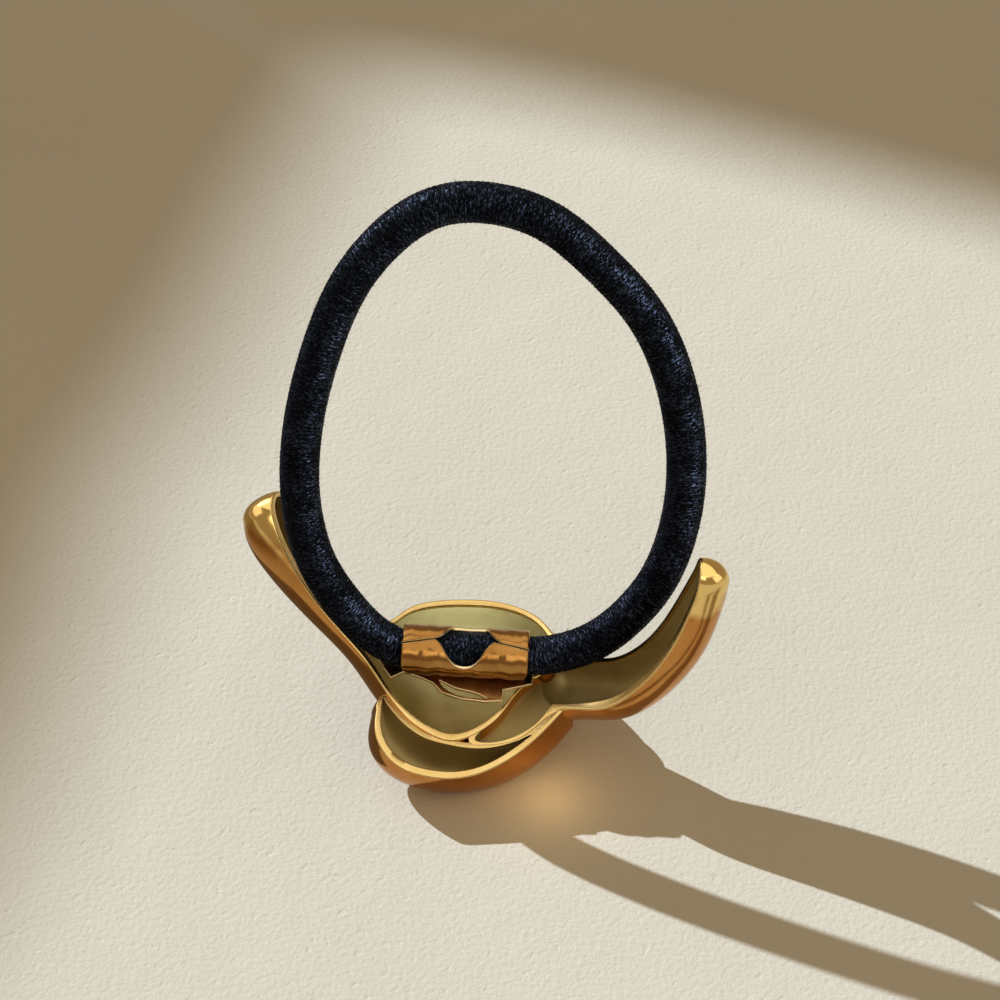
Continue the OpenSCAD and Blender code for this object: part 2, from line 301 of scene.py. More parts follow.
def stations(rows, ends):
    """Sections of a strand, about STATION apart, with the quarter turns of both its round ends.
    Gives the plan point of each section's middle, its half width as a vector, depth, fullness,
    the heading of the end it belongs to, that end's length and its quarter turn, 0 in the body."""
    rough = smooth_rows(rows, np.linspace(0, len(rows) - 1, 400))
    middles = (rough[:, :2] + rough[:, 2:4]) / 2
    run = np.concatenate([[0], np.cumsum(np.linalg.norm(np.diff(middles, axis=0), axis=1))])
    count = max(8, int(run[-1] / STATION))
    places = np.interp(np.linspace(0, run[-1], count), run, np.linspace(0, len(rows) - 1, 400))
    body = smooth_rows(rows, places)
    quarter = np.linspace(0, math.pi / 2, CAP_STEPS + 1)[1:]
    body = np.concatenate([np.repeat(body[:1], CAP_STEPS, 0), body, np.repeat(body[-1:], CAP_STEPS, 0)])
    turn = np.concatenate([quarter[::-1], np.zeros(count), quarter])
    middle = (body[:, :2] + body[:, 2:4]) / 2
    half = (body[:, 2:4] - body[:, :2]) / 2
    first, last = middle[CAP_STEPS] - middle[CAP_STEPS + 1], middle[-CAP_STEPS - 1] - middle[-CAP_STEPS - 2]
    heading = np.zeros_like(middle)
    heading[:CAP_STEPS] = first / np.linalg.norm(first)
    heading[-CAP_STEPS:] = last / np.linalg.norm(last)
    length = np.where(np.arange(len(turn)) < CAP_STEPS, ends[0], ends[1])
    return middle, half, body[:, 4], body[:, 5], heading, length, turn


def strand_grid(at, side, inset, shape, start, lean, top):
    """Points of a strand on the cuff. A profile point lies side times the inset half width from the
    middle, and in a round end that goes with the cosine of the quarter turn while the heading goes
    with its sine. Its depth is start plus shape times the rest of the strand's depth, or top
    where top isn't nan."""
    middle, half, depth, fullness, heading, length, turn = at
    width = np.linalg.norm(half, axis=1)
    across = half / width[:, None]
    out = side * (width[:, None] - inset) * np.cos(turn)[:, None]
    ahead = (length[:, None] - inset) * np.sin(turn)[:, None]
    plan = middle[:, None] + across[:, None] * out[..., None] + heading[:, None] * ahead[..., None]
    power = 1 - fullness[:, None]
    swell = 1 + fullness[:, None] * lean
    deep = start + (depth[:, None] - start) * np.cos(turn)[:, None] * shape ** power * swell
    deep = np.where(np.isnan(top), deep, np.nan_to_num(top))
    return plan, deep


def strand_outside(name, rows, ends, sink=0.0):
    """The outside of a strand as a solid: a part round that leans out past the rims by the bulge,
    with its two upper corners rounded to a flat top. The whole strand lies sink below the rims, and
    its bottom stays where it is."""
    a = np.linspace(-BULGE, math.pi + BULGE, OUTSIDE_POINTS)
    t = np.linspace(0, math.pi / 2, 6)[1:]
    inward, upward = OUTER_FILLET * (1 - np.cos(t)), OUTER_FILLET * (1 - np.sin(t))
    side = np.concatenate([np.cos(a) / math.cos(BULGE), -np.ones(len(t)), FLAT_SIDES, np.ones(len(t))])
    inset = np.concatenate([np.zeros(len(a)), inward, np.full(len(FLAT_SIDES), OUTER_FILLET), inward[::-1]])
    top = np.concatenate([np.full(len(a), np.nan), upward, np.zeros(len(FLAT_SIDES)), upward[::-1]])
    flat_top = np.zeros(len(side) - len(a))
    round_part = np.maximum(np.sin(a) + math.sin(BULGE), 0) / (1 + math.sin(BULGE))
    shape = np.concatenate([round_part, flat_top])
    lean = np.concatenate([np.cos(a), flat_top])
    at = stations(rows, ends)
    at = at[:2] + (at[2] - sink,) + at[3:]
    plan, deep = strand_grid(at, side, inset, shape, OUTER_FILLET, lean, top)
    # The flat top and its rounds take the rim material, whose paler gold is a painted highlight
    finish = np.full(len(side), RIM)
    finish[:len(a)] = OUTSIDE
    return closed_form(name, on_cuff(plan[..., 0], plan[..., 1], deep + sink), slots=finish)


def strand_hollow(name, rows, ends, near_mouth, far_mouth, far_wall=FAR_WALL):
    """The hollow of a strand as a solid: a half round below a straight lip, whose mouth opens by the
    outsets of near_mouth and far_mouth, each rows of (outset, depth) from the lip up. In the round
    ends the near mouth's numbers go over to the far one's, by the sine of the quarter turn."""
    near, far = rows[:, :2], rows[:, 2:4]
    over = (far - near) / np.linalg.norm(far - near, axis=1)[:, None]
    drawn_in = rows.copy()
    drawn_in[:, :2] = near + over * NEAR_WALL
    drawn_in[:, 2:4] = far - over * far_wall
    drawn_in[:, 4] -= FLOOR_WALL
    drawn_in[:, 5] = 0
    at = stations(drawn_in, ends)
    a = np.linspace(0, math.pi, HOLLOW_POINTS)
    count, flat = len(near_mouth), len(FLAT_SIDES)
    side = np.concatenate([np.cos(a), -np.ones(count), FLAT_SIDES, np.ones(count)])
    shape = np.concatenate([np.maximum(np.sin(a), 0) ** 0.8, np.zeros(len(side) - len(a))])

    def columns(mouth):
        """Each column's outset and depth, with this mouth on the near side."""
        outset = [np.zeros(len(a)), mouth[:, 0], np.full(flat, mouth[-1, 0]), far_mouth[::-1, 0]]
        top = [np.full(len(a), np.nan), mouth[:, 1], np.full(flat, -OPENING), far_mouth[::-1, 1]]
        return np.concatenate(outset), np.concatenate(top)

    share = np.sin(at[6])[:, None]
    own, common = columns(near_mouth), columns(far_mouth)
    outset, top = (mine + (both - mine) * share for mine, both in zip(own, common))
    plan, deep = strand_grid(at, side, -outset, shape, LIP, np.zeros(len(side)), top)
    # The mouth takes the rim material with its painted highlight, the hollow the satin with its painted
    # shade
    finish = np.full(len(side), RIM)
    finish[:len(a)] = INSIDE
    return closed_form(name, on_cuff(plan[..., 0], plan[..., 1], deep), slots=finish)


def rounded_mouth(radius, count=9):
    """Outset and depth of a mouth rounded by a quarter circle, then straight up past the rims."""
    t = np.linspace(0, math.pi / 2, count - 1)
    arc = np.stack([radius * (1 - np.cos(t)), radius * (1 - np.sin(t))], axis=1)
    return np.concatenate([arc, [[radius, -OPENING]]])


def stepped_mouth(ledge, drop, radius):
    """A mouth with a ledge below the rim: a small round, the ledge, and a second small round."""
    t = np.linspace(0, math.pi / 2, 4)
    low = np.stack([radius * (1 - np.cos(t)), drop + radius * (1 - np.sin(t))], axis=1)
    high = np.stack([ledge + radius * (1 - np.cos(t)), radius * (1 - np.sin(t))], axis=1)
    return np.concatenate([low, high, [[ledge + radius, -OPENING]]])


def web_pocket():
    """A flat-bottomed pocket: the outline's spline, carried straight up from the web's depth along
    the cuff's own direction at the web's place."""
    outline = smooth_rows(WEB_OUTLINE, np.linspace(0, len(WEB_OUTLINE), 111)[:-1], closed=True)
    turn = WEB_PLACE / RIM_RADIUS
    along = np.array([math.cos(turn), 0, math.sin(turn)])
    up = np.array([-math.sin(turn), 0, math.cos(turn)])
    base = on_cuff(WEB_PLACE, 0.0, WEB_DEPTH)
    middle = outline.mean(axis=0)
    # Each ring's size and height: out over the bottom, up the wall and in over the top
    scale = np.array([0.0, 0.5, 1.0, 1.0, 1.0, 1.0, 0.5, 0.0])[:, None, None]
    rise = np.array([0.0, 0.0, 0.0, 0.6, 1.2, 3.2, 3.2, 3.2])[:, None, None]
    flat = middle + (outline - middle) * scale
    rings = base + flat[..., :1] * along + flat[..., 1:] * np.array([0, 1, 0]) + rise * up
    return closed_form("web_pocket", rings, slots=np.full(len(outline), INSIDE))


def knot():
    """The cast knot: lobe and right arm with their hollows and the web between them, then the
    comma-shaped strand over both and its own hollow."""
    lobe = strand_outside("lobe", LOBE_ROWS, (1.0, 1.2), 0.25)
    arm = strand_outside("arm", ARM_ROWS, (2.0, 2.7), 0.12)
    comma = strand_outside("comma", COMMA_ROWS, (2.7, 1.6))
    round_mouth = rounded_mouth(0.2)
    # The lobe's far wall is a little thicker, so that the comma's bulge stays inside it, and the
    # comma's far wall is thicker by as much as the round of its mouth takes off
    lobe_hollow = strand_hollow("lobe_hollow", LOBE_ROWS[:-2], (0.6, 1.6), stepped_mouth(0.42, 0.3, 0.1),
                                rounded_mouth(0.12), FAR_WALL + 0.15)
    arm_hollow = strand_hollow("arm_hollow", ARM_ROWS[2:], (2.4, 2.0), round_mouth, rounded_mouth(0.15))
    comma_hollow = strand_hollow("comma_hollow", COMMA_ROWS, (2.0, 0.9), round_mouth, round_mouth,
                                 FAR_WALL + 0.2)
    return solid_from("knot", lobe, [
        ("UNION", arm), ("DIFFERENCE", web_pocket()), ("DIFFERENCE", lobe_hollow),
        ("DIFFERENCE", arm_hollow), ("UNION", comma), ("DIFFERENCE", comma_hollow),
    ], [polished_gold, satin_hollow_painted_shade, rim_painted_highlight])


# The rolled crimp and the stamped plate

def spread(length, edge, count):
    """Places from 0 to length with a quarter round's spacing within edge of either end."""
    near = edge * (1 - np.cos(np.linspace(0, math.pi / 2, 6)))
    return np.concatenate([near, np.linspace(edge, length - edge, count)[1:-1], (length - near)[::-1]])


def crimp():
    """A sheet rolled round the elastic: stations along X, and at each the arc from the near wing's
    edge round the bottom to the far wing's. The sheet's half thickness falls to nothing at every
    edge as a quarter round, and a low ripple over it is what the rolling left."""
    edge = CRIMP_SHEET / 2
    length = spread(CRIMP_LENGTH, edge, 110) - CRIMP_LENGTH / 2
    middle_radius = CRIMP_RADIUS - edge
    near_off, far_off = np.abs(length - NEAR_MIDDLE), np.abs(length - FAR_MIDDLE)
    places = np.linspace(0, len(NEAR_CUT) - 1, 121)
    near_cut, far_cut = smooth_rows(NEAR_CUT, places), smooth_rows(FAR_CUT, places)
    # Past the window the seam's slant leaves a peak on the near wing
    slant = SEAM_SLANT * np.maximum(near_off - NEAR_CUT[-1, 0], 0)
    near = np.maximum(np.interp(near_off, near_cut[:, 0], near_cut[:, 1], right=SEAM), SEAM) + slant
    far = np.maximum(np.interp(far_off, far_cut[:, 0], far_cut[:, 1], right=SEAM), SEAM) - slant
    start = np.arcsin(np.clip(near / CRIMP_RADIUS, -0.999, 0.999))
    stop = 2 * math.pi - np.arcsin(np.clip(far / CRIMP_RADIUS, -0.999, 0.999))
    arc = ((stop - start) * middle_radius)[:, None]
    # Distances from the near edge, in millimetres: they are laid out on a strip 2 mm wide, kept
    # true to size in the rounds at its edges and stretched between them
    strip = 2.0
    fixed = spread(strip, edge, 90)
    stretched = edge + (fixed - edge) / (strip - 2 * edge) * (arc - 2 * edge)
    in_round = np.where(fixed <= edge, fixed, arc - (strip - fixed))
    travel = np.where((fixed > edge) & (fixed < strip - edge), stretched, in_round)
    angle = start[:, None] + travel / middle_radius
    from_edge = np.minimum(travel, arc - travel)
    round_v = np.sqrt(np.clip(1 - (1 - np.minimum(from_edge / edge, 1)) ** 2, 0, 1))
    from_end = CRIMP_LENGTH / 2 - np.abs(length)
    round_u = np.sqrt(np.clip(1 - (1 - np.minimum(from_end / edge, 1)) ** 2, 0, 1))
    half = edge * round_v * round_u[:, None]
    # Both ends are cut off round, by a corner of so many millimetres that faces so far round from
    # the seam: a little at the seam, and more below the near side
    cut_off = np.zeros_like(angle)
    for corner, facing in ((0.45, 0.0), (1.3, math.radians(123))):
        over = np.clip(middle_radius * np.cos(angle - facing) - (CRIMP_RADIUS - corner), 0, corner)
        cut_off = np.maximum(cut_off, corner - np.sqrt(corner ** 2 - over ** 2))
    x = length[:, None] * (1 - cut_off / (CRIMP_LENGTH / 2))
    ripple = (0.045 * np.sin(1.9 * x + 0.8) * np.sin(2.2 * angle + 0.5)
              + 0.03 * np.sin(3.4 * x + 1.7 * angle)
              + 0.004 * np.sin(9.0 * x - 2.0 * angle))
    # The ripple dies out within this distance of the wings' edges
    calm = np.minimum(from_edge / 1.2, 1)
    middle = middle_radius + ripple * calm

    def side(offset):
        """One face of the sheet, so far out from its middle."""
        radius = middle + offset
        return np.stack([x, -radius * np.sin(angle), radius * np.cos(angle)], axis=-1)

    loop = np.concatenate([side(half), side(-half)[:, ::-1]], axis=1)
    # The wings' cut edges carry a painted highlight, a paler colour than the sheet: material 1 on the
    # outermost columns
    rim = np.minimum(fixed, strip - fixed) < 0.3 * edge
    return closed_form("crimp", loop, slots=np.concatenate([rim, rim[::-1]]))


def plate():
    """The stamped plate: its outline less its slot, filled flat and given a thickness with a small
    round on every edge."""
    curve = bpy.data.curves.new("plate", "CURVE")
    curve.dimensions, curve.fill_mode = "2D", "BOTH"
    edge = 0.12
    curve.extrude, curve.bevel_depth, curve.bevel_resolution = PLATE_SHEET / 2 - edge, edge, 3
    curve.offset = -edge
    rows = smooth_rows(SLOT_ROWS, np.linspace(0, len(SLOT_ROWS) - 1, 25))
    half_width = [0, 1] * rows[:, 2:]
    slot = np.concatenate([rows[:, :2] - half_width, (rows[:, :2] + half_width)[::-1]])
    for outline in (PLATE_OUTLINE, slot):
        spline = curve.splines.new("POLY")
        spline.points.add(len(outline) - 1)
        flat = np.concatenate([outline, np.zeros((len(outline), 1)), np.ones((len(outline), 1))], axis=1)
        spline.points.foreach_set("co", flat.ravel())
        spline.use_cyclic_u = True
    drawn = bpy.data.objects.new("plate", curve)
    scene.collection.objects.link(drawn)
    mesh = bpy.data.meshes.new_from_object(drawn.evaluated_get(bpy.context.evaluated_depsgraph_get()))
    bpy.data.objects.remove(drawn)
    bpy.data.curves.remove(curve)
    shape = bmesh.new()
    shape.from_mesh(mesh)
    bmesh.ops.remove_doubles(shape, verts=shape.verts, dist=1e-4)
    bmesh.ops.recalc_face_normals(shape, faces=shape.faces)
    shape.to_mesh(mesh)
    shape.free()
    # The cut edges carry a painted highlight, a paler colour than the two faces: material 1 where a face
    # isn't level
    facing = np.empty(len(mesh.polygons) * 3)
    mesh.polygons.foreach_get("normal", facing)
    mesh.polygons.foreach_set("material_index", (np.abs(facing[2::3]) < 0.9).astype(np.int32))
    below_crimp = np.array([0, 0, -CRIMP_RADIUS - PLATE_GAP - PLATE_SHEET / 2])
    mesh.vertices.foreach_set("co", (points_of(mesh) + below_crimp).ravel())
    piece = bpy.data.objects.new("plate", mesh)
    scene.collection.objects.link(piece)
    return piece


# The wound elastic

RIDGE_PITCH = 0.5
RIDGE_HEIGHT = 0.075
FIBRES = 7500
FIBRE_FOOT = 0.03


def loop_line(count):
    """The elastic's middle line in its leaning plane, as count points evenly spaced along the
    closed spline, with its length and the outward direction in the plane at each point."""
    fine = smooth_rows(LOOP_ROUTE, np.linspace(0, len(LOOP_ROUTE), 6001)[:-1], closed=True)
    steps = np.linalg.norm(np.roll(fine, -1, axis=0) - fine, axis=1)
    run = np.concatenate([[0], np.cumsum(steps)])
    around = np.concatenate([fine, fine[:1]])
    along = np.arange(count) / count * run[-1]
    line = np.stack([np.interp(along, run, around[:, k]) for k in (0, 1)], axis=1)
    ahead = np.roll(line, -1, axis=0) - np.roll(line, 1, axis=0)
    out = np.stack([ahead[:, 1], -ahead[:, 0]], axis=1)
    return line, out / np.linalg.norm(out, axis=1)[:, None], run[-1], along


def in_loop_plane(along, up, out):
    """A place near the loop: its plane leans back, with out at right angles to it."""
    return np.stack([along, up * math.sin(LOOP_LEAN) + out * math.cos(LOOP_LEAN),
                     up * math.cos(LOOP_LEAN) - out * math.sin(LOOP_LEAN)], axis=-1)


def on_yarn(along, angle):
    """Where a point is on the yarn, in millimetres: along the loop, and its two sides of the round."""
    return np.stack([along, ELASTIC_RADIUS * np.cos(angle), ELASTIC_RADIUS * np.sin(angle)], axis=-1)


def loose_fibres(rng, line, out, along):
    """Fibres that stand off the yarn, each a thin three-sided spike. Its root is just under the
    surface at a random place, its tip lies off the root by an uneven reach, in a direction that
    leans at random from straight out, and its three feet stand round the root. None grows in the
    crimp. Gives the four points of each spike, and the root's place on the yarn."""
    row = rng.integers(0, len(line), FIBRES)
    angle = rng.uniform(0, 2 * math.pi, FIBRES)
    outward = out[row] * np.cos(angle)[:, None]
    radial = in_loop_plane(outward[:, 0], outward[:, 1], np.sin(angle))
    depth = ELASTIC_RADIUS - 0.08
    root = in_loop_plane(*(line[row] + depth * outward).T, depth * np.sin(angle))
    lean = radial + rng.normal(0, 0.7, (FIBRES, 3))
    lean /= np.linalg.norm(lean, axis=1)[:, None]
    reach = 0.10 + np.minimum(rng.exponential(0.15, FIBRES), 0.8)
    free = (np.abs(root[:, 0]) > CRIMP_LENGTH / 2 + 0.8) | (root[:, 2] > 2 * CRIMP_RADIUS)
    free &= np.einsum("ij,ij->i", lean, radial) > 0.2
    row, angle, root, lean, reach = row[free], angle[free], root[free], lean[free], reach[free, None]
    one = np.cross(lean, [0.3, 0.5, 0.8])
    one /= np.linalg.norm(one, axis=1)[:, None]
    other = np.cross(lean, one)
    feet = [root + FIBRE_FOOT * (math.cos(a) * one + math.sin(a) * other)
            for a in (0, 2 * math.pi / 3, 4 * math.pi / 3)]
    return np.stack(feet + [root + lean * reach], axis=1), on_yarn(along[row], angle)


def elastic():
    """A round carried along the loop, its radius ribbed where each turn of yarn lies: the rib is the
    root of a cosine's size, one turn a ridge, and the turns wander a little. The loose fibres are
    added to its mesh."""
    sides, per_ridge = 44, 6
    length = loop_line(100)[2]
    ridges = round(length / RIDGE_PITCH)
    count = ridges * per_ridge
    line, out, length, along = loop_line(count)
    angle = np.arange(sides) / sides * 2 * math.pi
    turns = np.arange(count)[:, None] / per_ridge + angle[None, :] / (2 * math.pi)
    wander = 0.18 * np.sin(2 * math.pi * along[:, None] / length * 41 + 3 * np.sin(angle))
    rib = np.sqrt(np.abs(np.cos(math.pi * (turns + wander))))
    rng = np.random.default_rng(7)
    uneven = np.repeat(rng.uniform(-1, 1, ridges), per_ridge)[:, None]
    radius = ELASTIC_RADIUS - RIDGE_HEIGHT + RIDGE_HEIGHT * rib + 0.012 * uneven
    place = line[:, None] + out[:, None] * (radius * np.cos(angle))[..., None]
    grid = in_loop_plane(place[..., 0], place[..., 1], radius * np.sin(angle))
    piece = closed_form("elastic", grid, around_rows=True)
    mesh = piece.data
    spikes, spike_places = loose_fibres(rng, line, out, along)
    ring = points_of(mesh)
    first = len(ring) + 4 * np.arange(len(spikes))[:, None, None]
    spike_faces = (first + np.array([[0, 1, 3], [1, 2, 3], [2, 0, 3], [0, 2, 1]])).reshape(-1, 3)
    ring_faces = np.empty(len(mesh.loops), int)
    mesh.loops.foreach_get("vertex_index", ring_faces)
    mesh.clear_geometry()
    mesh.from_pydata(np.concatenate([ring, spikes.reshape(-1, 3)]).tolist(), [],
                     ring_faces.reshape(-1, 4).tolist() + spike_faces.tolist())
    # The places on the yarn carry the colours of its flecks
    ring_places = on_yarn(*np.broadcast_arrays(along[:, None], angle)).reshape(-1, 3)
    places = np.concatenate([ring_places, np.repeat(spike_places, 4, axis=0)])
    mesh.attributes.new("yarn", "FLOAT_VECTOR", "POINT").data.foreach_set("vector", places.ravel())
    return piece


# Materials

def new_material(name):
    """Makes a material, and gives it with its node tree and its Principled shader."""
    material = bpy.data.materials.new(name)
    material.use_nodes = True
    tree = material.node_tree
    return material, tree, tree.nodes["Principled BSDF"]


def add(tree, kind, values=(), **settings):
    """A node with its settings, and numbers or links for its inputs by name or number."""
    node = tree.nodes.new(kind)
    for name, value in settings.items():
        setattr(node, name, value)
    for name, value in dict(values).items():
        socket = node.inputs[name]
        if isinstance(value, bpy.types.NodeSocket):
            tree.links.new(value, socket)
        else:
            socket.default_value = value
    return node


def link(tree, value, socket):
    """Leads a value to a socket."""
    tree.links.new(value, socket)


def ramp(tree, value, stops):
    """A colour ramp over a value, from a list of (place, colour)."""
    node = add(tree, "ShaderNodeValToRGB", {0: value})
    elements = node.color_ramp.elements
    while len(elements) < len(stops):
        elements.new(0.5)
    for element, (place, colour) in zip(elements, stops):
        element.position, element.color = place, (*colour, 1)
    return node.outputs["Color"]


def span(tree, value, low, high, new_low, new_high):
    """A value carried from one range to another, kept inside it."""
    return add(tree, "ShaderNodeMapRange", {0: value, 1: low, 2: high, 3: new_low, 4: new_high}).outputs[0]


def total(tree, one, other):
    """The sum of two values."""
    return add(tree, "ShaderNodeMath", {0: one, 1: other}, operation="ADD").outputs[0]


def noise(tree, where, scale, detail=3.0, rough=0.5):
    """Soft clouds of values round 0.5. scale is about how many of them lie along one unit."""
    return add(tree, "ShaderNodeTexNoise", {"Vector": where, "Scale": scale, "Detail": detail,
                                            "Roughness": rough}).outputs["Fac"]


def bump(tree, height, distance, before=None, strength=1.0):
    """A normal bent by a height that stands for so many millimetres, on top of the bump before."""
    values = {"Strength": strength, "Distance": distance * MM, "Height": height}
    if before is not None:
        values["Normal"] = before
    return add(tree, "ShaderNodeBump", values).outputs[0]


def metal(name, low, high, rough_low, rough_high, wave, grain, waviness=230.0, tip=None, bare=1.0):
    """Plated metal: the colour drifts between two tones, the polish varies in clouds, slow waves of
    the casting bend the reflections, and fine grain is left by the finishing. tip is a paler
    colour painted on the higher places as a painted highlight, for the bright reflections at the
    ends of the arms: the height, less a little for places further right, decides it. bare is how
    much of the surface is bright metal, and the rest is dull."""
    material, tree, shader = new_material(name)
    where = add(tree, "ShaderNodeTexCoord").outputs["Object"]
    clouds = noise(tree, where, 160.0, 4.0, 0.6)
    colour = ramp(tree, clouds, [(0.3, low), (0.7, high)])
    # Painted highlight: the higher places go over to the paler tip colour
    if tip:
        height = add(tree, "ShaderNodeVectorMath", {0: where, 1: (-0.11, 0, 1)}, operation="DOT_PRODUCT")
        uneven = span(tree, noise(tree, where, 250.0, 2.0), 0.3, 0.7, -2.8 * MM, 2.8 * MM)
        raised = total(tree, height.outputs["Value"], uneven)
        share = span(tree, raised, 23.0 * MM, 26.0 * MM, 0.0, 1.0)
        mixed = add(tree, "ShaderNodeMixRGB", {"Fac": share, "Color1": colour, "Color2": (*tip, 1)})
        colour = mixed.outputs["Color"]
    link(tree, colour, shader.inputs["Base Color"])
    polish = noise(tree, where, 420.0, 5.0, 0.65)
    link(tree, span(tree, polish, 0.3, 0.7, rough_low, rough_high), shader.inputs["Roughness"])
    shader.inputs["Metallic"].default_value = bare
    slow = bump(tree, noise(tree, where, waviness, 1.0), wave)
    link(tree, bump(tree, noise(tree, where, 6000.0, 2.0), grain, slow), shader.inputs["Normal"])
    return material


# The outside's arm ends get a painted highlight, a paler gold as they rise
polished_gold = metal("polished_gold", (0.46, 0.18, 0.04), (0.58, 0.28, 0.08), 0.10, 0.18, 0.05, 0.0012,
                      tip=(0.82, 0.57, 0.21))
# Satin finish in the hollows; its darker olive colour is partly painted shade for the insides
satin_hollow_painted_shade = metal("satin_hollow_painted_shade", (0.34, 0.25, 0.09), (0.43, 0.34, 0.14), 0.46, 0.56, 0.05, 0.003,
                     bare=0.5)
# Painted highlight: the rims' paler gold stands in for the bright reflections they catch
rim_painted_highlight = metal("rim_painted_highlight", (0.62, 0.42, 0.15), (0.74, 0.55, 0.25), 0.20, 0.30, 0.02, 0.0012)
rolled_gold = metal("rolled_gold", (0.26, 0.11, 0.025), (0.44, 0.23, 0.07), 0.15, 0.25, 0.08, 0.0015, 430.0)
# Painted shade: the plate's face is darkened for the crimp's shade over it
stamped_gold_painted_shade = metal("stamped_gold_painted_shade", (0.20, 0.10, 0.035), (0.30, 0.17, 0.07), 0.20, 0.34, 0.03, 0.003)
# Painted highlight: a pale colour on the crimp's and plate's cut edges
painted_edge_highlight = metal("painted_edge_highlight", (0.78, 0.60, 0.32), (0.88, 0.74, 0.48), 0.36, 0.48, 0.02, 0.003)


def wound_yarn():
    """Navy yarn wound round the core: short flecks lie across the cord, a few of them shine like
    smooth thread, and the fibres' fuzz gives a faint bluish sheen."""
    material, tree, shader = new_material("wound_yarn")
    yarn = add(tree, "ShaderNodeAttribute", attribute_name="yarn").outputs["Vector"]
    across = add(tree, "ShaderNodeMapping", {"Vector": yarn, "Scale": (7.0, 2.0, 2.0)}).outputs[0]
    flecks = noise(tree, across, 1.0, 3.0, 0.75)
    drift = span(tree, noise(tree, yarn, 0.35, 3.0, 0.6), 0.3, 0.7, -0.05, 0.05)
    bright = total(tree, flecks, drift)
    link(tree, ramp(tree, bright, [
        (0.30, (0.0006, 0.0008, 0.0014)),
        (0.52, (0.0012, 0.0018, 0.0035)),
        (0.58, (0.014, 0.018, 0.030)),
        (0.66, (0.042, 0.052, 0.080)),
        (0.80, (0.09, 0.11, 0.16)),
    ]), shader.inputs["Base Color"])
    link(tree, span(tree, bright, 0.52, 0.60, 0.0, 1.0), shader.inputs["Metallic"])
    link(tree, span(tree, bright, 0.46, 0.60, 0.95, 0.45), shader.inputs["Roughness"])
    shader.inputs["Specular IOR Level"].default_value = 0.04
    shader.inputs["Sheen Weight"].default_value = 0.02
    shader.inputs["Sheen Roughness"].default_value = 0.4
    shader.inputs["Sheen Tint"].default_value = (0.45, 0.55, 0.9, 1)
    link(tree, bump(tree, flecks, 0.06, strength=0.8), shader.inputs["Normal"])
    return material


def plaster():
    """Pale beige plaster: slow clouds of tone, fine rounded grain, a few small pits and low waves."""
    material, tree, shader = new_material("plaster")
    where = add(tree, "ShaderNodeTexCoord").outputs["Object"]
    tone = noise(tree, where, 14.0, 4.0, 0.6)
    link(tree, ramp(tree, tone, [(0.35, (0.735, 0.70, 0.61)), (0.65, (0.77, 0.735, 0.645))]),
         shader.inputs["Base Color"])
    shader.inputs["Roughness"].default_value = 0.9
    shader.inputs["Specular IOR Level"].default_value = 0.1
    pits = span(tree, noise(tree, where, 700.0, 1.5, 0.5), 0.28, 0.36, -1.0, 0.0)
    grainy = bump(tree, noise(tree, where, 1500.0, 2.5, 0.55), 0.10)
    pitted = bump(tree, pits, 0.03, grainy)
    link(tree, bump(tree, noise(tree, where, 120.0, 2.0, 0.5), 0.12, pitted), shader.inputs["Normal"])
    return material


# The pieces

knot_piece = knot()
finish_piece(knot_piece, "knot_cuff", sharp=32)

crimp_piece = crimp()
finish_piece(crimp_piece, "elastic_clamp", (rolled_gold, painted_edge_highlight))

plate_piece = plate()
finish_piece(plate_piece, "clamp_plate", (stamped_gold_painted_shade, painted_edge_highlight), sharp=40)

elastic_piece = elastic()
finish_piece(elastic_piece, "elastic_band", (wound_yarn(),))

# The floor

FLOOR_HALF = 1.2
floor_mesh = bpy.data.meshes.new("floor")
corners = FLOOR_HALF * np.array([[-1, -1, 0], [1, -1, 0], [1, 1, 0], [-1, 1, 0]])
floor_mesh.from_pydata(corners.tolist(), [], [(0, 1, 2, 3)])
floor_mesh.materials.append(plaster())
floor = bpy.data.objects.new("floor", floor_mesh)
scene.collection.objects.link(floor)

# Light: a low warm room, a sun from behind on the left, and soft cards for metal and yarn

SUN_TURN, SUN_RISE = math.radians(143.5), math.radians(33.5)
to_sun = Vector((math.cos(SUN_TURN) * math.cos(SUN_RISE), math.sin(SUN_TURN) * math.cos(SUN_RISE),
                 math.sin(SUN_RISE)))

metals = (knot_piece, crimp_piece, plate_piece)


def only_on(holder, pieces):
    """Lets a light fall on the given pieces only."""
    lit = bpy.data.collections.new(holder.name)
    for piece in pieces:
        lit.objects.link(piece)
    holder.light_linking.receiver_collection = lit


def sun(name, energy, width, only):
    """A sun whose disc is so many degrees wide. It lights only the pieces in only."""
    light = bpy.data.lights.new(name, "SUN")
    light.energy, light.angle, light.color = energy, math.radians(width), (0.84, 0.93, 1.0)
    holder = bpy.data.objects.new(name, light)
    holder.rotation_euler = to_sun.to_track_quat("Z", "Y").to_euler()
    scene.collection.objects.link(holder)
    only_on(holder, only)


# The metal has a sun of its own, wider and weaker, as its highlights are soft
sun("sun", 3.95, 0.55, (floor, elastic_piece))
sun("sun_on_metal", 0.5, 30.0, metals)

world = bpy.data.worlds.new("room")
scene.world = world
world.use_nodes = True
world.node_tree.nodes["Background"].inputs["Color"].default_value = (1.0, 0.79, 0.52, 1)
world.node_tree.nodes["Background"].inputs["Strength"].default_value = 0.36


def card(name, only, direction, distance, width, height, radiance, colour):
    """A soft rectangular card that only glossy surfaces see, facing the object from a direction.
    Its power is pi times its area times its radiance, and it lights only the pieces in only."""
    light = bpy.data.lights.new(name, "AREA")
    light.shape, light.size, light.size_y, light.color = "RECTANGLE", width, height, colour
    light.energy = math.pi * width * height * radiance
    holder = bpy.data.objects.new(name, light)
    direction = Vector(direction).normalized()
    holder.location = direction * distance
    holder.rotation_euler = direction.to_track_quat("Z", "Y").to_euler()
    holder.visible_diffuse = False
    scene.collection.objects.link(holder)
    only_on(holder, only)


